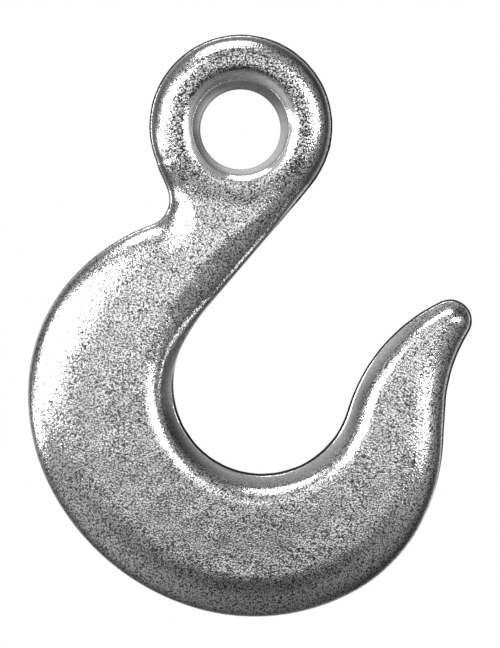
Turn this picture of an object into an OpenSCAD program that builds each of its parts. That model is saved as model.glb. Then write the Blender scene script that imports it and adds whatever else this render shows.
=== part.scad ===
// Eye slip hook for a trailer safety chain: one closed-die steel forging.
// Frame: origin at the centre of the eye hole, +Y along the hole, +Z up towards
// the chain, +X towards the point of the hook. The parting plane is Y = 0.

/* [Eye] */
// Radius of the hole in the eye
eye_hole_r = 8; // [7.8:0.05:8.2]
// Radius of the outside of the eye
eye_outer_r = 18.35; // [18.2:0.05:19]
// Thickness of the eye across its crest
eye_t = 10.6; // [10:0.1:12]
// Length of the straight land in the middle of the hole
eye_land = 3; // [2:0.1:4]
// How far each rounded mouth of the hole spreads beyond the land
eye_flare = 4.3; // [3.6:0.1:4.4]

/* [Hook body] */
// Thickness of the bowl near its inner, load-bearing side
bowl_t = 13.5; // [12.5:0.1:15]
// Thickness of the bowl near its outer side
back_t = 12.4; // [11:0.1:13]
// Thickness of the point of the hook, just behind its nose
point_t = 10; // [8:0.1:10]
// Thickness of the neck where it runs into the eye
neck_t = 10.2; // [9.4:0.1:10.4]
// Width of the trimmed flash line around the parting plane
flash_t = 1.8; // [1:0.1:2.4]

/* [Resolution] */
// Distance between cross-sections, measured along the outer edge
ring_pitch = 3; // [2.5:0.5:6]
// Points on each rounded corner of a cross-section
corner_points = 6; // [4:1:7]

/* [Hidden] */
eye_centre = [0.1, 0.65]; // the outside of the eye sits slightly above the hole

// Nose of the point: a circle that both edges leave as tangents.
nose_c = [42, -38.25];
nose_r = 4.35;
inner_heading = 205; // direction in which the inner edge leaves the nose
outer_heading = 238; // direction in which the outer edge leaves the nose

// Each edge is a chain of tangent pieces, from the nose back to the eye:
// [radius, sweep] is an arc, left if the sweep is positive; [length] is a line.
inner_edge = [
    [35, 48.5],      // back of the point's inner side
    [17.75, -190],   // bowl
    [38, -14],       // run-in to the shank
    [28.5],          // straight side of the shank
];
outer_edge = [
    [31, 28.5],      // hollow behind the point
    [8],             // short straight
    [39, -24],
    [33, -35.5],     // heel
    [42, -44.5],     // bottom
    [48, -44],
    [41, -33.5],     // back
    [34, -36],       // shoulder
    [39, -29.5],
    [5.25, 94.5],    // throat of the neck
    [2.5],
];

// Cross-section schedule. Each row pairs a place on the inner edge with a place
// on the outer edge, by distance from the nose, and gives there:
// half thickness near the inner side, half thickness near the outer side,
// reach of the inner round, reach of the outer round.
hi = bowl_t / 2;
ho = back_t / 2;
hp = point_t / 2;
hn = neck_t / 2;
schedule = [
    [0,     0,     hp,            hp,                  4.2, 4.4],
    [9.7,   6.5,   hp + 0.4,      hp + 0.3,            4.5, 6],
    [17.6,  12.3,  (hp + hi) / 2, hp + 0.6,            4.8, 6.6],
    [27.6,  22.4,  hi - 0.6,      (hp + ho) / 2 + 0.2, 5.1, 7.2],
    [38.2,  42.6,  hi - 0.3,      ho - 0.2,            5.5, 8.2],
    [52.2,  78.7,  hi,            ho,                  5.6, 9],
    [66.1,  115.4, hi,            ho,                  5.6, 9.4],
    [80,    152.2, hi,            ho,                  5.8, 11],
    [88.5,  161.3, hi - 0.1,      ho,                  6.4, 11.7],
    [97.8,  170.4, hi - 0.4,      ho - 0.3,            7.6, 11.4],
    [105,   184,   hi - 0.6,      ho - 0.9,            8,   9],
    [112.9, 193.1, hi - 0.9,      ho - 1.3,            7.6, 7],
    [119.7, 200.6, hn + 0.5,      hn - 0.3,            6.5, 6],
    [125.5, 204.4, hn,            hn,                  5.2, 5.5],
];

// Point and heading at distance s along a chain that starts at p with heading h.
function unit(a) = [cos(a), sin(a)];
function piece_len(g) = len(g) == 1 ? g[0] : g[0] * abs(g[1]) * PI / 180;
function after(p, h, g, s) = // s is a distance within the piece g
    len(g) == 1 ? [p + s * unit(h), h]
    : let (k = sign(g[1]), a = k * s / g[0] * 180 / PI, c = p + g[0] * k * unit(h + 90))
      [c - g[0] * k * unit(h + a + 90), h + a];
function walk(p, h, chain, s, i = 0) =
    let (n = piece_len(chain[i]))
    s <= n || i == len(chain) - 1 ? after(p, h, chain[i], s)[0]
    : let (e = after(p, h, chain[i], n)) walk(e[0], e[1], chain, s - n, i + 1);
inner_start = nose_c + nose_r * unit(inner_heading - 90);
outer_start = nose_c + nose_r * unit(outer_heading + 90);
function on_inner(s) = walk(inner_start, inner_heading, inner_edge, s);
function on_outer(s) = walk(outer_start, outer_heading, outer_edge, s);

// One column of the schedule, read at a distance along the outer edge.
function column(c) = [for (r = schedule) [r[1], r[c]]];
col_s = column(0);
col_hi = column(2);
col_ho = column(3);
col_ri = column(4);
col_ro = column(5);

// Cross-section: [inner point, outer point, half thicknesses, reaches].
nose_axis = (inner_heading + outer_heading) / 2 - 180;
nose_half = 90 - (outer_heading - inner_heading) / 2;
function nose_station(a) = [
    nose_c + nose_r * unit(nose_axis + a), nose_c + nose_r * unit(nose_axis - a),
    hp * sin(a) / sin(nose_half), hp * sin(a) / sin(nose_half), 4, 4
];
function body_station(s) = [
    on_inner(lookup(s, col_s)), on_outer(s),
    lookup(s, col_hi), lookup(s, col_ho), lookup(s, col_ri), lookup(s, col_ro)
];
s_end = schedule[len(schedule) - 1][1];
n_body = ceil(s_end / ring_pitch);
// The last sections run into the ring of the eye and end inside it.
root = [
    [[13.2, -11.6], [-16.1, -7.6], hn - 0.5, hn - 0.5, 5.6, 5.6],
    [[9.5, -8.5], [-10.5, -7.5], hn - 1.6, hn - 1.6, 5, 5],
];
stations = concat(
    [for (a = [12 : 12 : nose_half - 6]) nose_station(a)],
    [for (i = [0 : n_body]) body_station(s_end * i / n_body)],
    root);

// Half of a section's outline, from the inner edge over +Y to the outer edge:
// [distance from the inner edge, y].
n = corner_points;
flash = flash_t / 2;
function rise(h, q) = flash + max(0.05, h - flash) * sin(q);
function half_section(w, hi, ho, ri, ro) =
    let (a = min(ri, w * ri / (ri + ro)), b = min(ro, w * ro / (ri + ro)))
    concat(
        [for (k = [0 : n]) let (q = 90 * k / n) [a * (1 - cos(q)), rise(hi, q)]],
        [for (k = [n : -1 : 0]) let (q = 90 * k / n) [w - b * (1 - cos(q)), rise(ho, q)]]);
function ring(st) =
    let (d = st[1] - st[0], w = norm(d), e = d / w,
         half = half_section(w, st[2], st[3], st[4], st[5]))
    concat(
        [for (p = half) let (q = st[0] + e * p[0]) [q[0], p[1], q[1]]],
        [for (i = [len(half) - 1 : -1 : 0]) let (q = st[0] + e * half[i][0]) [q[0], -half[i][1], q[1]]]);
m = 4 * (n + 1);
rings = len(stations);
ring_points = [for (st = stations) each ring(st)];
ring_faces = concat(
    [[for (k = [0 : m - 1]) k]],
    [for (i = [0 : rings - 2], k = [0 : m - 1]) let (a = i * m + k, b = i * m + (k + 1) % m)
        each [[a, a + m, b], [b, a + m, b + m]]],
    [[for (k = [m - 1 : -1 : 0]) (rings - 1) * m + k]]);

// Outside of the eye, as [radius, y]: a flat crest that falls away in an
// elliptical round to the flash line.
crest_in = eye_hole_r + eye_flare;
crest_out = crest_in + 1.2;
eye_half = eye_t / 2;
land_half = eye_land / 2;
eye_edge = [for (k = [0 : 9]) let (q = 10 * k)
    [crest_out + (eye_outer_r - crest_out) * sin(q), flash + (eye_half - flash) * cos(q)]];
eye_outline = concat(
    [[0, eye_half]], eye_edge,
    [for (i = [9 : -1 : 0]) [eye_edge[i][0], -eye_edge[i][1]]], [[0, -eye_half]]);

// One rounded mouth of the hole, as the metal that it takes away.
mouth = concat(
    [[0, land_half]],
    [for (k = [0 : 9]) let (q = 10 * k)
        [crest_in - eye_flare * cos(q), land_half + (eye_half - land_half) * sin(q)]],
    [[crest_in, eye_half + 4], [0, eye_half + 4]]);

module eye_blank() {
    translate([eye_centre[0], 0, eye_centre[1]])
        rotate([90, 0, 0])
            rotate_extrude($fn = 96)
                polygon(eye_outline);
}

module eye_hole() {
    rotate([90, 0, 0])
        cylinder(r = eye_hole_r, h = 30, center = true, $fn = 96);
    for (side = [-90, 90])
        rotate([side, 0, 0])
            rotate_extrude($fn = 96)
                polygon(mouth);
}

module shank_and_bowl() {
    polyhedron(ring_points, ring_faces, convexity = 6);
}

module hook_forging() {
    color([0.66, 0.67, 0.68])
        difference() {
            union() {
                eye_blank();
                shank_and_bowl();
            }
            eye_hole();
        }
}

hook_forging();
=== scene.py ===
"""Looks of a forged, zinc-plated eye slip hook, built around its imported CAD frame.

Lengths in the shape code are millimetres in the row frame; they become metres
when the mesh is made. The forging is one closed mesh, symmetric about Y = 0.
"""

import math

import bpy
import numpy as np
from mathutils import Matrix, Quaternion, Vector
from mathutils import noise as mn
from mathutils.geometry import delaunay_2d_cdt


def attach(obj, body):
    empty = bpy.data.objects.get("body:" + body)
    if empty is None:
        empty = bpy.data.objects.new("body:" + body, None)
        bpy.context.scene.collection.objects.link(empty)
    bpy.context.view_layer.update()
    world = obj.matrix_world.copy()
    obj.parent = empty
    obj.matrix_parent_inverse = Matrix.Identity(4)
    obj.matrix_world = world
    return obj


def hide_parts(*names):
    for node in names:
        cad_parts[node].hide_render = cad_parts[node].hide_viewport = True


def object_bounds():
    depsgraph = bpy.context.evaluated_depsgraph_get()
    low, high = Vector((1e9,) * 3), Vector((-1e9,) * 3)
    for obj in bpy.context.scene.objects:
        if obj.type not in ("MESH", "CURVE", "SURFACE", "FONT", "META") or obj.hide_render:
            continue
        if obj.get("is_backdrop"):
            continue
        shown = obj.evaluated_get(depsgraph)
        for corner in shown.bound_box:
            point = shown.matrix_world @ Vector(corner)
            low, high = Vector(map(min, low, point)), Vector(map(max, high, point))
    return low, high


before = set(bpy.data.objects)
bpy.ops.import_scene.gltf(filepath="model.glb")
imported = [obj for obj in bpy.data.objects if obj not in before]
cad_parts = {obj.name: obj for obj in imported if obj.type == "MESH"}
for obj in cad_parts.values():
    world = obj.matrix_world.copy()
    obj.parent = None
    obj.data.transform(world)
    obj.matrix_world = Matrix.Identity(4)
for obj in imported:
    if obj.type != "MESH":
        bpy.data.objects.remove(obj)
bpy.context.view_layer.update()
scene = bpy.context.scene

# ----------------------------------------------------------------------------
# Outline of the forging: the same arcs and lines as the CAD design.
# ----------------------------------------------------------------------------
HOLE_R = 8.0
EYE_C = np.array([0.1, 0.65])
EYE_R = 18.35
NOSE_C = np.array([42.0, -38.25])
NOSE_R = 4.35
INNER_HEADING, OUTER_HEADING = 205.0, 238.0
INNER = [(35, 48.5), (17.75, -190), (38, -14), (29.5,)]
OUTER = [
    (31, 28.5), (8,), (39, -24), (33, -35.5), (42, -44.5), (48, -44),
    (41, -33.5), (34, -36), (39, -29.5), (5.25, 94.5), (5,),
]


def unit(deg):
    a = np.radians(deg)
    return np.stack([np.cos(a), np.sin(a)], -1)


def walk(p, heading, chain, step=0.1):
    """Points along a chain of tangent arcs and lines, and their distances from its start."""
    pts, dist, s0 = [np.array([p])], [np.zeros(1)], 0.0
    p, h = np.array(p, float), float(heading)
    for piece in chain:
        length = piece[0] if len(piece) == 1 else piece[0] * abs(math.radians(piece[1]))
        s = np.linspace(0, length, max(2, int(length / step) + 1))[1:]
        if len(piece) == 1:
            q, hh = p + s[:, None] * unit(h), h
        else:
            k = math.copysign(1, piece[1])
            a = k * np.degrees(s / piece[0])
            c = p + piece[0] * k * unit(h + 90)
            q, hh = c - piece[0] * k * unit(h + a + 90), h + a[-1]
        pts.append(q)
        dist.append(s0 + s)
        p, h, s0 = q[-1], hh, s0 + length
    return np.concatenate(pts), np.concatenate(dist)


nose_mid = (INNER_HEADING + OUTER_HEADING) / 2 - 180
inner_start = NOSE_C + NOSE_R * unit(INNER_HEADING - 90)
outer_start = NOSE_C + NOSE_R * unit(OUTER_HEADING + 90)
a_pts, a_s = walk(inner_start, INNER_HEADING, INNER)
b_pts, b_s = walk(outer_start, OUTER_HEADING, OUTER)
nose_a = NOSE_C + NOSE_R * unit(np.linspace(nose_mid, INNER_HEADING - 90, 60)[:-1])
nose_b = NOSE_C + NOSE_R * unit(np.linspace(nose_mid, OUTER_HEADING - 270, 60)[:-1])
eye_arc = EYE_C + EYE_R * unit(np.linspace(204.0, -37.0, 760))

# Edge A runs from the nose along the inner side; edge B from the nose round the
# back and the eye. Together they close the outline.
A = np.concatenate([nose_a, a_pts])
A_s = np.concatenate([np.full(len(nose_a), 0.0), a_s])
B = np.concatenate([nose_b, b_pts, eye_arc])
B_s = np.concatenate([np.full(len(nose_b), 0.0), b_s, b_s[-1] + np.linspace(0.1, 77, len(eye_arc))])

loop = np.concatenate([A, B[::-1]])
seg = np.linalg.norm(np.diff(np.vstack([loop, loop[:1]]), axis=0), axis=1)
cum = np.concatenate([[0], np.cumsum(seg)])
perimeter = cum[-1]
N = int(perimeter / 0.5)


def resample(n):
    t = np.linspace(0, perimeter, n, endpoint=False)
    closed = np.vstack([loop, loop[:1]])
    return np.stack([np.interp(t, cum, closed[:, i]) for i in (0, 1)], 1), t


def smooth_closed(values, sigma):
    """Gaussian filter of a closed loop, sigma in samples."""
    n = len(values)
    f = np.fft.fftfreq(n)
    w = np.exp(-2 * (np.pi * f * sigma) ** 2)
    return np.real(np.fft.ifft(np.fft.fft(values, axis=0) * (w[:, None] if values.ndim > 1 else w), axis=0))


fine, fine_t = resample(4 * N)
fine = smooth_closed(fine, 5.0)  # 0.6 mm
rim = fine[::4].copy()
tangent = np.roll(fine, -1, 0) - np.roll(fine, 1, 0)
tangent = (tangent / np.linalg.norm(tangent, axis=1, keepdims=True))[::4]
inward = np.stack([-tangent[:, 1], tangent[:, 0]], 1)

# ----------------------------------------------------------------------------
# Thickness: one height over the parting plane, from the distances to the edges.
# ----------------------------------------------------------------------------
# along A, along B, half thickness inside, half thickness outside, reach inside, reach outside, squareness of the outer side
SCHEDULE = np.array([
    [0, 0, 5.0, 5.0, 4.2, 4.4, 2.0],
    [9.7, 6.5, 5.4, 5.3, 4.5, 6.0, 2.0],
    [17.6, 12.3, 5.8, 5.6, 4.8, 6.6, 2.0],
    [27.6, 22.4, 6.1, 5.8, 5.1, 7.2, 2.0],
    [38.2, 42.6, 6.4, 6.0, 5.5, 8.2, 2.0],
    [52.2, 78.7, 6.65, 6.1, 5.6, 9.0, 2.1],
    [66.1, 115.4, 6.7, 6.1, 5.6, 9.4, 2.3],
    [80.0, 152.2, 6.7, 6.2, 5.8, 11.0, 2.6],
    [88.5, 161.3, 6.6, 6.2, 6.4, 11.7, 2.6],
    [97.8, 170.4, 6.35, 5.9, 7.6, 11.4, 2.5],
    [105.0, 184.0, 6.1, 5.3, 8.0, 9.0, 2.4],
    [112.9, 193.1, 5.85, 4.9, 7.6, 7.0, 2.1],
    [119.7, 200.6, 5.6, 4.8, 6.5, 6.0, 2.0],
    [125.5, 206.0, 5.3, 5.1, 4.9, 4.9, 2.0],
])
ROWS = np.arange(len(SCHEDULE), dtype=float)
kk = np.linspace(0, ROWS[-1], 521)
table = np.stack([np.interp(kk, ROWS, SCHEDULE[:, c]) for c in range(2, 7)], 1)
pad = 60
padded = np.vstack([np.repeat(table[:1], pad, 0), table, np.repeat(table[-1:], pad, 0)])
kern = np.exp(-0.5 * (np.arange(-pad, pad + 1) / 22.0) ** 2)
kern /= kern.sum()
table = np.stack([np.convolve(padded[:, c], kern, "valid") for c in range(5)], 1)

Y_SIDE = 1.2  # half thickness where the side walls leave the flash line


def side_profile():
    """Inner side in section: a drafted wall that turns through a round into the face."""
    u = np.linspace(0, 1, 801)
    w = 0.34
    tilt = np.where(u < w, 67 - 10 * u / w, 0)
    s = np.sin(np.radians(57)) * np.clip((1 - u) / (1 - w), 0, 1)
    slope = np.where(u < w, np.tan(np.radians(tilt)), s / np.sqrt(1 - s**2))
    g = np.concatenate([[0], np.cumsum((slope[1:] + slope[:-1]) / 2 * np.diff(u))])
    return u, g / g[-1]


SIDE_U, SIDE_G = side_profile()


def round_profile(u, square=2.0):
    """Outer side in section: an ellipse, or with square > 2 a blunter edge under a flatter crown."""
    v = 1 - np.clip(u, 0, 1)
    return np.clip(1 - v ** (2.1 - 0.3 * (square - 2)), 0, 1) ** (1 / square)


def pieces(p, heading, chain):
    """The arcs and lines of a chain: (centre, radius, start angle, turn, length, s0) or (start, direction, length, s0)."""
    out, s0, h = [], 0.0, float(heading)
    p = np.array(p, float)
    for piece in chain:
        if len(piece) == 1:
            out.append(("line", p, unit(h), piece[0], s0))
            p, s0 = p + piece[0] * unit(h), s0 + piece[0]
        else:
            r, turn = piece
            k = math.copysign(1, turn)
            c = p + r * k * unit(h + 90)
            length = r * abs(math.radians(turn))
            out.append(("arc", c, r, h - 90 * k, turn, s0, 1.0))
            h += turn
            p, s0 = c - r * k * unit(h + 90), s0 + length
    return out


EDGE_A = [("arc", NOSE_C, NOSE_R, INNER_HEADING - 90, nose_mid - INNER_HEADING + 90, 0.0, 0.0)] + pieces(inner_start, INNER_HEADING, INNER)
BACK = [("arc", NOSE_C, NOSE_R, OUTER_HEADING - 270, nose_mid - OUTER_HEADING + 270, 0.0, 0.0)] + pieces(outer_start, OUTER_HEADING, OUTER)
EYE_EDGE = [("arc", EYE_C, EYE_R, 204.0, -241.0, b_s[-1] + 0.1, 1.0)]


def chord(p, q, s0):
    return ("line", p, (q - p) / np.linalg.norm(q - p), np.linalg.norm(q - p), s0)


# short straights close the outline where the neck runs on to the eye
EDGE_A.append(chord(a_pts[-1], eye_arc[-1], a_s[-1]))
BACK.append(chord(b_pts[-1], eye_arc[0], b_s[-1]))
TIP, CROTCH = NOSE_C + NOSE_R * unit(nose_mid), eye_arc[-1]


def nearest(points, chain):
    """Distance from each point to a chain, and how far along it the nearest point is."""
    best = np.full(len(points), 1e9)
    at = np.zeros(len(points))
    for piece in chain:
        if piece[0] == "line":
            _, p, d, length, s0 = piece
            t = np.clip((points - p) @ d, 0, length)
            r = np.linalg.norm(points - p - t[:, None] * d, axis=1)
            s = s0 + t
        else:
            _, c, rad, a0, turn, s0, runs = piece
            rel = points - c
            a = np.degrees(np.arctan2(rel[:, 1], rel[:, 0]))
            k = math.copysign(1, turn)
            x = ((a - a0) * k) % 360
            over = x > abs(turn)
            x = np.where(over, np.where(x - abs(turn) < 360 - x, abs(turn), 0.0), x)
            foot = c + rad * unit(a0 + k * x)
            r = np.where(over, np.linalg.norm(points - foot, axis=1), np.abs(np.linalg.norm(rel, axis=1) - rad))
            s = s0 + runs * rad * np.radians(x)
        closer = r < best
        best[closer], at[closer] = r[closer], s[closer]
    return best, at


def field(t, stops):
    s, v = zip(*stops)
    return np.interp(t, s, v)


def inset_a(s):
    """How far the trimmed flash line stands out of the side, along the inner edge."""
    return field(s, [(0, 0.5), (20, 0.5), (32, 0.68), (76, 0.66), (86, 0.2), (116, 0.14), (126, 0.4)])


def inset_b(s):
    return field(s, [(0, 0.5), (14, 0.48), (30, 0.25), (42, 0.12), (90, 0.12), (130, 0.18), (165, 0.24), (185, 0.4), (200, 0.5), (285, 0.5)])


rng = np.random.default_rng(11)
WAVES = []
for i in range(46):
    wavelength = 2.2 * (14 / 2.2) ** (i / 45)
    WAVES.append((2 * math.pi / wavelength * unit(rng.uniform(0, 360)), rng.uniform(0, 2 * math.pi), wavelength))


def uneven(points):
    """The small waviness of a forged face, about +-0.03 mm."""
    out = np.zeros(len(points))
    for k, phase, wavelength in WAVES:
        out += 0.0007 * wavelength**0.8 * np.sin(points @ k + phase)
    return out


def smoothstep(x):
    x = np.clip(x, 0, 1)
    return x * x * (3 - 2 * x)


FLARE_CREST, MOUTH_R = 12.45, 8.06


def mouth_profile():
    """Mouth of the hole in section: a round, then a steepening wall."""
    v = np.linspace(0, 1, 2001)
    tilt = np.where(v < 0.65, np.degrees(np.arcsin(np.sin(np.radians(46)) * np.minimum(v / 0.65, 1))), np.interp(v, [0.65, 0.653, 0.85, 1], [46, 60, 65, 69]))
    slope = np.tan(np.radians(tilt))
    return v, np.concatenate([[0], np.cumsum((slope[1:] + slope[:-1]) / 2 * np.diff(v))])


MOUTH_V, MOUTH_G = mouth_profile()


def height(points):
    """Half thickness over the parting plane at points of the (X, Z) plane."""
    dA, sA = nearest(points, EDGE_A)
    d_back, s_back = nearest(points, BACK)
    d_eye, s_eye = nearest(points, EYE_EDGE)
    dB, sB = np.minimum(d_back, d_eye), np.where(d_back < d_eye, s_back, s_eye)
    kA = np.interp(sA, SCHEDULE[:, 0], ROWS)
    kB = np.interp(s_back, SCHEDULE[:, 1], ROWS)
    q = dA / (dA + d_back + 1e-9)
    k = (1 - q) * kA + q * kB
    tin, tout, rin, rout, square = (np.interp(k, kk, table[:, c]) for c in range(5))
    neck = smoothstep((k - 7.6) / 1.8)
    across = smoothstep(q) * (1 - neck) + smoothstep((q - 0.25) / 0.68) * neck
    t = tin + (tout - tin) * across
    # under the neck the side leans in from the very edge
    lean = field(sA, [(0, 0), (78, 0), (88, 0.35), (116, 0.35), (124, 0)])
    uA = np.clip((dA - inset_a(sA) + lean) / rin, 0, 1)
    uB = np.clip((dB - inset_b(sB)) / rout, 0, 1)
    gA = np.interp(uA, SIDE_U, SIDE_G) * (1 - neck) + round_profile(uA) * neck
    gB = round_profile(uB, square)
    # the two sides blend, except where one edge simply runs on into the other
    shared = np.minimum(np.linalg.norm(points - TIP, axis=1) - 1, np.linalg.norm(points - CROTCH, axis=1) - 6)
    apart = smoothstep(shared / 5)
    lo_, hi_ = np.minimum(1 - gA, 1 - gB), np.maximum(np.maximum(1 - gA, 1 - gB), 1e-6)
    g = 1 - hi_ * (1 - apart + apart * (1 + (lo_ / hi_) ** 3) ** (1 / 3))
    y = Y_SIDE + (t - Y_SIDE) * np.clip(g, 0, 1)
    inland = smoothstep((np.minimum(dA, dB) - 0.8) / 2.5)
    # the eye stands a little proud of the root of the neck
    r = np.linalg.norm(points - EYE_C, axis=1)
    y = y - 0.42 * np.exp(-0.5 * ((r - 16.9) / 2.1) ** 2) * smoothstep((np.minimum(dA, dB) - 3) / 4)
    y = y + uneven(points) * inland
    # rounded mouth of the hole
    rho = np.maximum(np.linalg.norm(points, axis=1), 1e-6)
    toward = (points @ EYE_C) / rho
    rho_crest = toward + np.sqrt(np.maximum(toward**2 - EYE_C @ EYE_C + FLARE_CREST**2, 0))
    v = (rho_crest - rho) / (rho_crest - MOUTH_R)
    drop = (rho_crest - MOUTH_R) * np.interp(np.clip(v, 0, 1), MOUTH_V, MOUTH_G)
    return np.where(v > 0, y * (1 - drop / 5.3), y)


dA_loop, sA_loop = nearest(rim, EDGE_A)
dB_loop, sB_loop = nearest(rim, BACK + EYE_EDGE)
prom = np.where(dA_loop < dB_loop, inset_a(sA_loop), inset_b(sB_loop))
prom = smooth_closed(prom, 4.0)

# ----------------------------------------------------------------------------
# Mesh: rows of quads along the outline and round the hole, triangles between.
# ----------------------------------------------------------------------------
verts, faces, analytic = [], [], []


def add(points_xz, y):
    base = sum(len(v) for v in verts)
    verts.append(np.stack([points_xz[:, 0], y, points_xz[:, 1]], 1))
    return base + np.arange(len(y))


def quads(r0, r1, flip):
    a, b, c, d = r0, np.roll(r0, -1), np.roll(r1, -1), r1
    f = np.stack([a, b, c, d] if not flip else [a, d, c, b], 1)
    faces.extend(f.tolist())


trim = 0.05 * np.array([mn.noise(Vector((p[0] * 0.45, 5.0, p[1] * 0.45))) for p in rim])
edge_d = np.clip(0.04 + trim * (prom / 0.5), 0.0, 0.5 * prom)
# (share of the flash line's width, half thickness, slope in degrees, share of the dark colour on the trimmed edge:
# dull, and near black as painted shade)
flash_rows = [
    (0.0, 0.42, 72, 1), (0.3, 0.66, 58, 1), (0.66, 0.89, 48, 1),
    (0.72, 0.94, 31, 0.15), (0.97, 1.05, 31, 0.15),
]
body_rows = [0.0, 0.03, 0.09, 0.18, 0.3, 0.45, 0.65, 0.9, 1.2, 1.55, 1.95, 2.4, 2.9]
M = 220
hole_a = np.linspace(0, 2 * np.pi, M, endpoint=False)
ring_dir = np.stack([np.cos(hole_a), np.sin(hole_a)], 1)
hole_edge = HOLE_R * ring_dir


def crest_points(r):
    """Where the rays from the hole's centre cross a circle round the eye's centre."""
    b = -(ring_dir @ EYE_C)
    c = EYE_C @ EYE_C - r * r
    return ring_dir * (-b + np.sqrt(b * b - c))[:, None]


crest = crest_points(FLARE_CREST + 0.15)
crest_rho = np.linalg.norm(crest_points(FLARE_CREST), axis=1)

mid = add(rim + inward * edge_d[:, None], np.zeros(N))
# the trimmed flash edge is dull, and its near-black colour is painted shade
shear_shade_amount = np.clip(prom / 0.35, 0.0, 1.0) ** 2
# the edge at the shoulder and under the neck is ground off clean
cleaned = field(sA_loop, [(0, 0), (76, 0), (86, 1), (112, 1), (119, 0)]) * (dA_loop < dB_loop)
shear_shade_amount *= 1 - 0.9 * cleaned
shear_shade_amount *= np.where(dA_loop < dB_loop, 1.0, field(sB_loop, [(0, 1), (120, 1), (135, 0.2), (204, 0.2), (216, 1)]))
dark_rows = [(mid, shear_shade_amount)]
sloped = [(mid, 90.0, -1)]
wall_foot = []
sides = {}
for side in (-1, 1):
    flip = side > 0
    prev = mid
    for share, y, slope, shear_shade in flash_rows:
        d = edge_d + share * (prom - edge_d).clip(0.0) + 0.01 * (y > 0.5)
        row = add(rim + inward * d[:, None], np.full(N, side * y))
        quads(prev, row, flip)
        sloped.append((row, slope, side))
        dark_rows.append((row, shear_shade * shear_shade_amount))
        prev = row
    for r in body_rows:
        d = np.maximum(prom, edge_d + 0.03) + r
        p = rim + inward * d[:, None]
        row = add(p, side * (height(p) if r > 0 else np.full(N, Y_SIDE)))
        quads(prev, row, flip)
        if r > 0.0:
            analytic.append((row, side))
        else:
            wall_foot.append((row, p + inward * 0.07, side))
        prev = row
    outer_loop, outer_xz = prev, p
    # mouth of the hole, from the crest inwards
    prev = add(crest, side * height(crest))
    analytic.append((prev, side))
    crest_loop = prev
    round_rows = [0.649 * math.sin(math.pi / 2 * j / 14) for j in range(1, 15)]
    for v in round_rows + [0.655, 0.72, 0.79, 0.86, 0.93, 0.998]:
        p = ring_dir * (crest_rho - v * (crest_rho - MOUTH_R))[:, None]
        h = height(p)
        row = add(p, side * h)
        quads(prev, row, flip)
        analytic.append((row, side))
        if 0.62 < v < 0.7:
            dark_rows.append((row, 0.28))  # painted shade: a darker, duller row at the step in the mouth's slope, dimming the light line reflected there
        prev = row
    row = add(hole_edge + 0.03 * ring_dir, side * (h - 0.07))
    quads(prev, row, flip)
    row2 = add(hole_edge, side * (h - 0.2))
    quads(row, row2, flip)
    # faces between the rim rows and the crest of the hole
    if side < 0:
        step = 0.55
        lo, hi = outer_xz.min(0), outer_xz.max(0)
        gx = np.arange(lo[0], hi[0], step)
        gz = np.arange(lo[1], hi[1], step * math.sqrt(3) / 2)
        X, Z = np.meshgrid(gx, gz)
        X = X + (np.arange(len(gz)) % 2)[:, None] * step / 2
        g = np.stack([X.ravel(), Z.ravel()], 1)

        def inside(points, poly):
            out = np.zeros(len(points), bool)
            p, q = poly, np.roll(poly, -1, 0)
            for i in range(0, len(points), 4000):
                x, z = points[i : i + 4000, 0:1], points[i : i + 4000, 1:2]
                cross = (p[:, 1] > z) != (q[:, 1] > z)
                dz = np.where(q[:, 1] == p[:, 1], 1e-12, q[:, 1] - p[:, 1])
                at = (q[:, 0] - p[:, 0]) * (z - p[:, 1]) / dz + p[:, 0]
                out[i : i + 4000] = (cross & (x < at)).sum(1) % 2 == 1
            return out

        g = g[inside(g, outer_xz)]
        d = np.concatenate([np.linalg.norm(g[i : i + 2000, None] - outer_xz[None], axis=2).min(1) for i in range(0, len(g), 2000)])
        g = g[d > 0.42]
        g = g[np.linalg.norm(g - EYE_C, axis=1) > FLARE_CREST + 0.15 + 0.36]
        pts2 = np.vstack([outer_xz, crest, g])
        n0, n1 = len(outer_xz), len(crest)
        edges = [(i, (i + 1) % n0) for i in range(n0)] + [(n0 + i, n0 + (i + 1) % n1) for i in range(n1)]
        out = delaunay_2d_cdt([Vector(p) for p in pts2], edges, [], 0, 1e-7)
        vv = np.array([tuple(v) for v in out[0]])
        tri = np.array([t for t in out[2] if len(t) == 3])
        assert len(vv) == len(pts2), (len(vv), len(pts2))
        order = np.array([o[0] for o in out[3]])  # output vertex -> input vertex
        tri = order[tri]
        c = pts2[tri].mean(1)
        keep = inside(c, outer_xz) & (np.linalg.norm(c - EYE_C, axis=1) > FLARE_CREST)
        tri = tri[keep]
        e1, e2 = pts2[tri[:, 1]] - pts2[tri[:, 0]], pts2[tri[:, 2]] - pts2[tri[:, 0]]
        area = e1[:, 0] * e2[:, 1] - e1[:, 1] * e2[:, 0]
        tri = np.where((area > 0)[:, None], tri, tri[:, ::-1])
        h_in = height(g)
    inner_ids = add(g, side * h_in)
    analytic.append((inner_ids, side))
    ids = np.concatenate([outer_loop, crest_loop, inner_ids])
    t3 = ids[tri]
    faces.extend((t3 if side < 0 else t3[:, ::-1]).tolist())
    sides[side] = row2
quads(sides[-1], sides[1], False)

V = np.concatenate(verts)
# darkness per vertex: the dull trimmed flash edge, near black as painted shade, plus painted shade inside the outer
# edge and at the mouth's step
shear_and_shade_values = np.zeros(len(V))
for ids, amount in dark_rows:
    shear_and_shade_values[ids] = amount

mesh = bpy.data.meshes.new("hook_forging_look")
mesh.from_pydata((V * 0.001).tolist(), [], faces)
mesh.validate()
for poly in mesh.polygons:
    poly.use_smooth = True
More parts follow.
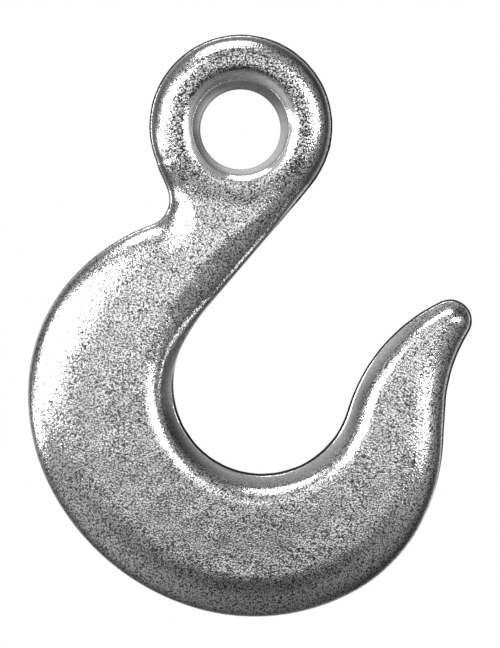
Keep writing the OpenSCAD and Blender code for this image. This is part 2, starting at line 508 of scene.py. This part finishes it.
# shade the faces with the exact slope of the surface
normals = np.zeros((len(V), 3))
e = 0.03
stands_out = np.clip((prom - 0.15) / 0.3, 0.0, 1.0) * (1 - cleaned)
for ids, slope, side in sloped:
    t = np.radians(np.where(slope > 80, slope, 80 + (slope - 80) * stands_out))
    normals[ids] = np.stack([-inward[:, 0] * np.sin(t), side * np.cos(t), -inward[:, 1] * np.sin(t)], 1)
for ids, p, side in [(ids, V[ids][:, [0, 2]], side) for ids, side in analytic] + wall_foot:
    gx = (height(p + [e, 0]) - height(p - [e, 0])) / (2 * e)
    gz = (height(p + [0, e]) - height(p - [0, e])) / (2 * e)
    n3 = np.stack([-gx, np.full(len(ids), float(side)), -gz], 1)
    normals[ids] = n3 / np.linalg.norm(n3, axis=1, keepdims=True)
mesh.normals_split_custom_set_from_vertices(normals.tolist())
# smooth steep walls inside the bowl and the punched mouth of the hole; the
# distances along and from the edge carry their fine drag marks
P2 = V[:, [0, 2]]
dA_v, sA_v = nearest(P2, EDGE_A)
dB_v, sB_v = nearest(P2, BACK + EYE_EDGE)
r_v = np.linalg.norm(P2 - EYE_C, axis=1)
wall = 0.8 * (1 - smoothstep((dA_v - 1.7) / 1.0)) * (1 - smoothstep((sA_v - 84) / 10)) * smoothstep((sA_v - 6) / 6)
mouth = 1 - smoothstep((r_v - 10.2) / 1.4)
rim_side = 0.45 * np.maximum(
    (1 - smoothstep((dB_v - 1.2) / 1.2)) * smoothstep((sB_v - 200) / 8),
    (1 - smoothstep((dA_v - 1.2) / 1.2)) * smoothstep((sA_v - 88) / 10),
)
smooth_zone = np.maximum(np.maximum(wall, mouth), rim_side)
a1 = mesh.attributes.new("smooth_zone", "FLOAT", "POINT")
a1.data.foreach_set("value", smooth_zone.astype(np.float32))
round_trip = a_s[-1] + np.max(sB_v)
# painted light: lighter colour near the inner edge along the tip and the bowl's left side, and on the hole's mouth
lip_painted_light = (1 - smoothstep((dA_v - 0.8) / 1.3)) * field(sA_v, [(6, 0), (14, 0.8), (34, 0.8), (42, 0.1), (56, 0.1), (64, 0.9), (84, 0.9), (94, 0)])
lip_painted_light = np.maximum(lip_painted_light, 0.9 * mouth)
a3 = mesh.attributes.new("lip_painted_light", "FLOAT", "POINT")
a3.data.foreach_set("value", lip_painted_light.astype(np.float32))
along = np.where(mouth > 0.01, 0.12 * np.degrees(np.arctan2(P2[:, 1], P2[:, 0])), np.where(dA_v < dB_v, sA_v, round_trip - sB_v))
across_d = np.where(mouth > 0.01, r_v + 50, np.minimum(dA_v, dB_v))
flow = np.stack([along * 1.1, across_d * 5.0 + np.abs(V[:, 1]) * 2.5, np.zeros(len(V))], 1)
a2 = mesh.attributes.new("flow", "FLOAT_VECTOR", "POINT")
a2.data.foreach_set("vector", flow.astype(np.float32).ravel())
# the eye keeps more of the coarse scale of the forging than the body
turn = np.degrees(np.arctan2(P2[:, 1] - EYE_C[1], P2[:, 0] - EYE_C[0]))
turn = np.where(turn < -90, turn + 360, turn)
coarse = smoothstep((r_v - 10.2) / 1.2) * (1 - 0.7 * smoothstep((r_v - 14.2) / 1.2)) * (1 - smoothstep((r_v - 17) / 1))
coarse *= smoothstep((turn + 62) / 26) * (1 - smoothstep((turn - 222) / 26))
a4 = mesh.attributes.new("coarse", "FLOAT", "POINT")
a4.data.foreach_set("value", coarse.astype(np.float32))
# the trimmed edge of the flash line, dull, and darkened to near black as painted shade
# and painted shade: a darker zone just inside the outer edge, on the lower right, the shoulder and the eye, faint at
# the tip
painted_shade_band = (1 - smoothstep((dB_v - 1.2) / 1.1)) * smoothstep((dB_v - 0.3) / 0.2)
painted_shade_band *= field(sB_v, [(0, 0.1), (25, 0.1), (32, 0.3), (58, 0.25), (68, 0), (140, 0), (150, 0.3), (180, 0.3), (192, 0), (206, 0.28), (300, 0.28)])
shear_and_shade_values = np.maximum(shear_and_shade_values, painted_shade_band)
shear_and_shade_attr = mesh.attributes.new("shear_and_shade", "FLOAT", "POINT")
shear_and_shade_attr.data.foreach_set("value", shear_and_shade_values.astype(np.float32))
hook = bpy.data.objects.new("forged_hook", mesh)
scene.collection.objects.link(hook)
print("MESH", len(mesh.vertices), len(mesh.polygons))

# ----------------------------------------------------------------------------
# Material
# ----------------------------------------------------------------------------


def new_material(name):
    m = bpy.data.materials.new(name)
    m.use_nodes = True
    nt = m.node_tree
    for n in list(nt.nodes):
        nt.nodes.remove(n)
    out = nt.nodes.new("ShaderNodeOutputMaterial")
    bsdf = nt.nodes.new("ShaderNodeBsdfPrincipled")
    nt.links.new(bsdf.outputs[0], out.inputs[0])
    return m, nt, bsdf


zinc, nt, bsdf = new_material("zinc_plated_forging")
bsdf.inputs["Metallic"].default_value = 1.0
L = nt.links.new
tc = nt.nodes.new("ShaderNodeTexCoord")


def noise(scale, detail, rough, offset=(0, 0, 0), stretch=(1, 1, 1)):
    mp = nt.nodes.new("ShaderNodeMapping")
    mp.inputs["Location"].default_value = offset
    mp.inputs["Scale"].default_value = stretch
    L(tc.outputs["Object"], mp.inputs["Vector"])
    n = nt.nodes.new("ShaderNodeTexNoise")
    n.inputs["Scale"].default_value = scale
    n.inputs["Detail"].default_value = detail
    n.inputs["Roughness"].default_value = rough
    L(mp.outputs[0], n.inputs["Vector"])
    return n.outputs["Fac"]


def ramp(fac, stops):
    r = nt.nodes.new("ShaderNodeValToRGB")
    L(fac, r.inputs[0])
    els = r.color_ramp.elements
    while len(els) > 1:
        els.remove(els[-1])
    for i, (p, v) in enumerate(stops):
        e = els[0] if i == 0 else els.new(p)
        e.position = p
        e.color = (v, v, v, 1) if not isinstance(v, tuple) else (*v, 1)
    return r.outputs[0]


def mix(kind, a, b, fac=1.0):
    m = nt.nodes.new("ShaderNodeMix")
    m.data_type, m.blend_type = "RGBA", kind
    m.inputs[0].default_value = fac
    L(a, m.inputs[6])
    L(b, m.inputs[7])
    return m.outputs[2]


grain = noise(4100, 0.5, 0.5)
pits = noise(2500, 0.5, 0.5, offset=(0.3, 0.1, 0.2))
patches = noise(130, 3.0, 0.6, offset=(0.1, 0.4, 0.7))
grain_grey = ramp(grain, [(0.35, 0.08), (0.44, 0.5), (0.52, 0.76), (0.62, 0.9)])
pit_grey = ramp(pits, [(0.32, 0.2), (0.43, 0.85), (0.5, 1.0)])
patch_grey = ramp(patches, [(0.3, 0.9), (0.7, 1.0)])
coarse_at = nt.nodes.new("ShaderNodeAttribute")
coarse_at.attribute_name = "coarse"
scale_grey = nt.nodes.new("ShaderNodeMix")
scale_grey.data_type = "RGBA"
L(coarse_at.outputs["Fac"], scale_grey.inputs[0])
L(pit_grey, scale_grey.inputs[6])
L(ramp(pits, [(0.34, 0.08), (0.44, 0.3), (0.53, 0.75), (0.6, 1.0)]), scale_grey.inputs[7])
speckle = mix("MULTIPLY", grain_grey, scale_grey.outputs[2])
zone = nt.nodes.new("ShaderNodeAttribute")
zone.attribute_name = "smooth_zone"
flow_at = nt.nodes.new("ShaderNodeAttribute")
flow_at.attribute_name = "flow"
drag = nt.nodes.new("ShaderNodeTexNoise")
drag.inputs["Scale"].default_value = 1.0
drag.inputs["Detail"].default_value = 2.0
L(flow_at.outputs["Vector"], drag.inputs["Vector"])
drag_grey = ramp(drag.outputs["Fac"], [(0.3, 0.30), (0.5, 0.52), (0.7, 0.72)])
# painted light: the lighter grey used near the inner edge and on the mouth
lip_at = nt.nodes.new("ShaderNodeAttribute")
lip_at.attribute_name = "lip_painted_light"
painted_light_grey = ramp(drag.outputs["Fac"], [(0.3, 0.62), (0.5, 0.86), (0.7, 1.0)])
on_lip = nt.nodes.new("ShaderNodeMix")
on_lip.data_type = "RGBA"
L(lip_at.outputs["Fac"], on_lip.inputs[0])
L(drag_grey, on_lip.inputs[6])
L(painted_light_grey, on_lip.inputs[7])
drag_grey = on_lip.outputs[2]
blend = nt.nodes.new("ShaderNodeMix")
blend.data_type = "RGBA"
L(zone.outputs["Fac"], blend.inputs[0])
L(speckle, blend.inputs[6])
L(drag_grey, blend.inputs[7])
colour = mix("MULTIPLY", blend.outputs[2], patch_grey)
shear_and_shade = nt.nodes.new("ShaderNodeAttribute")
shear_and_shade.attribute_name = "shear_and_shade"
# painted shade: darkens the colour at the trimmed flash edge, just inside the outer edge and at the step in the mouth
colour = mix("MULTIPLY", colour, ramp(shear_and_shade.outputs["Fac"], [(0.0, 1.0), (0.15, 0.8), (0.3, 0.5), (1.0, 0.05)]))
L(colour, bsdf.inputs["Base Color"])
rough = nt.nodes.new("ShaderNodeMix")
rough.data_type = "RGBA"
L(shear_and_shade.outputs["Fac"], rough.inputs[0])
L(ramp(grain, [(0.3, 0.2), (0.5, 0.125), (0.7, 0.105)]), rough.inputs[6])
rough.inputs[7].default_value = (0.55, 0.55, 0.55, 1)
L(rough.outputs[2], bsdf.inputs["Roughness"])
bump = nt.nodes.new("ShaderNodeBump")
bump.inputs["Strength"].default_value = 0.45
bump.inputs["Distance"].default_value = 0.0001
flat = nt.nodes.new("ShaderNodeMath")
flat.operation = "MULTIPLY_ADD"
L(zone.outputs["Fac"], flat.inputs[0])
flat.inputs[1].default_value, flat.inputs[2].default_value = -0.85, 1.0
amp = nt.nodes.new("ShaderNodeMath")
amp.operation = "MULTIPLY"
L(grain, amp.inputs[0])
L(flat.outputs[0], amp.inputs[1])
L(amp.outputs[0], bump.inputs["Height"])
L(bump.outputs[0], bsdf.inputs["Normal"])
hook.data.materials.append(zinc)

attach(hook, "root")
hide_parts("hook_forging")

# ----------------------------------------------------------------------------
# Stage, light and camera
# ----------------------------------------------------------------------------
cam_data = bpy.data.cameras.new("camera")
cam = bpy.data.objects.new("camera", cam_data)
scene.collection.objects.link(cam)
scene.camera = cam
D = 0.8
cam_data.sensor_width = 36
cam_data.lens = 36 * D / 0.1296
cam_data.clip_start, cam_data.clip_end = 0.01, 10
cam.location = (0.001912, -D, -0.03889)
cam.rotation_euler = (math.radians(90), 0, 0)

world = bpy.data.worlds.new("studio")
scene.world = world
world.use_nodes = True
wt = world.node_tree
for n in list(wt.nodes):
    wt.nodes.remove(n)
w_out = wt.nodes.new("ShaderNodeOutputWorld")
w_mix = wt.nodes.new("ShaderNodeMixShader")
w_path = wt.nodes.new("ShaderNodeLightPath")
w_white = wt.nodes.new("ShaderNodeBackground")
w_white.inputs[0].default_value = (1, 1, 1, 1)
w_room = wt.nodes.new("ShaderNodeBackground")
w_tc = wt.nodes.new("ShaderNodeTexCoord")


w_xyz = wt.nodes.new("ShaderNodeSeparateXYZ")
wt.links.new(w_tc.outputs["Generated"], w_xyz.inputs[0])


def w_math(kind, a, b):
    n = wt.nodes.new("ShaderNodeMath")
    n.operation = kind
    for i, v in enumerate((a, b)):
        if isinstance(v, (int, float)):
            n.inputs[i].default_value = v
        else:
            wt.links.new(v, n.inputs[i])
    return n.outputs[0]


# The room: brighter up and to the left, darker down, right and behind.
wx, wy, wz = w_xyz.outputs
powers = {"x": wx, "y": wy, "z": wz}
room = 0.32
for term, k in {"x": -0.02, "y": 0.11, "z": 0.64, "xz": -0.07, "xy": -0.03, "yz": 0.1, "yy": 0.33, "zz": -0.06, "xxx": -0.04,
                "xxz": -0.53, "xzz": -0.15, "zzz": -0.57, "yxx": -0.53, "yxz": -0.22, "yzz": -0.15}.items():
    value = k
    for letter in term:
        value = w_math("MULTIPLY", powers[letter], value)
    room = w_math("ADD", room, value)


def w_spot(theta, phi, radius, amount):
    """Adds a soft round patch to the room: theta from the camera side, phi round it."""
    global room
    t, p = math.radians(theta), math.radians(phi)
    d = (math.sin(t) * math.cos(p), -math.cos(t), math.sin(t) * math.sin(p))
    dot = 0.0
    for axis, c in zip((wx, wy, wz), d):
        dot = w_math("ADD", dot, w_math("MULTIPLY", axis, c))
    edge = math.cos(math.radians(radius))
    lobe = w_math("MAXIMUM", w_math("DIVIDE", w_math("SUBTRACT", dot, edge), 1 - edge), 0.0)
    room = w_math("ADD", room, w_math("MULTIPLY", lobe, amount))


w_spot(112, 160, 14, -0.15)
w_spot(124, 185, 24, 0.12)
w_spot(80, -45, 35, -0.05)
w_spot(120, 38, 30, -0.18)
w_spot(132, 100, 40, -0.12)
w_spot(40, 135, 35, 0.15)
w_spot(14, 92, 22, 0.3)
w_spot(9, 58, 16, 0.62)
w_spot(15, -88, 23, -0.3)
w_spot(13, 182, 13, 0.55)
w_spot(21, 138, 13, -0.45)
w_spot(54, -138, 26, 0.1)
w_spot(62, 8, 24, 0.08)
w_spot(152, -30, 34, 0.45)  # the back is lit too
room = w_math("MAXIMUM", room, 0.04)
wt.links.new(room, w_room.inputs[0])
wt.links.new(w_path.outputs["Is Camera Ray"], w_mix.inputs[0])
wt.links.new(w_room.outputs[0], w_mix.inputs[1])
wt.links.new(w_white.outputs[0], w_mix.inputs[2])
wt.links.new(w_mix.outputs[0], w_out.inputs[0])

CENTRE = Vector((0.002, 0, -0.039))


def softbox(name, u, w, wide, high, roll, radiance, dist=1.2):
    """A rectangular light hung in the direction that lies u degrees to the right of the camera and w above it (measured straight along the great circle), filling wide by high degrees seen from the hook."""
    theta, phi = math.radians(math.hypot(u, w)), math.atan2(w, u)
    d = Vector((math.sin(theta) * math.cos(phi), -math.cos(theta), math.sin(theta) * math.sin(phi)))
    data = bpy.data.lights.new(name, "AREA")
    data.shape = "RECTANGLE"
    data.size = 2 * dist * math.tan(math.radians(wide) / 2)
    data.size_y = 2 * dist * math.tan(math.radians(high) / 2)
    data.energy = radiance * math.pi * data.size * data.size_y
    data.cycles.max_bounces = 0
    o = bpy.data.objects.new(name, data)
    scene.collection.objects.link(o)
    o.location = CENTRE + d * dist
    o.rotation_mode = "QUATERNION"
    forward = Vector((0, -1, 0))
    o.rotation_quaternion = forward.rotation_difference(d) @ Quaternion(forward, math.radians(roll)) @ Quaternion((1, 0, 0), math.radians(90))
    o.visible_camera = False
    return o


softbox("left_softbox", -42, 16.5, 40.5, 27, 3, 9.0)
softbox("left_side_strip", -78, -9, 38, 11, 15, 6.0)
softbox("right_softbox", 37, 12, 32, 21, -14, 9.0)
softbox("top_softbox", -15, 78, 35, 35, 0, 6.5)

floor_mesh = bpy.data.meshes.new("floor")
n = 64
fv = [(0.35 * math.cos(2 * math.pi * i / n), 0.35 * math.sin(2 * math.pi * i / n), 0) for i in range(n)]
floor_mesh.from_pydata(fv, [], [list(range(n))])
floor = bpy.data.objects.new("floor", floor_mesh)
floor.location = (0.0, 0.0, -0.2)
scene.collection.objects.link(floor)
fm, ft, fb = new_material("pale_floor")
fb.inputs["Base Color"].default_value = (0.9, 0.9, 0.9, 1)
fb.inputs["Roughness"].default_value = 0.8
floor.data.materials.append(fm)
floor.visible_glossy = False
floor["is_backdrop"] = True

scene.view_settings.view_transform = "Standard"

lo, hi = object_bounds()
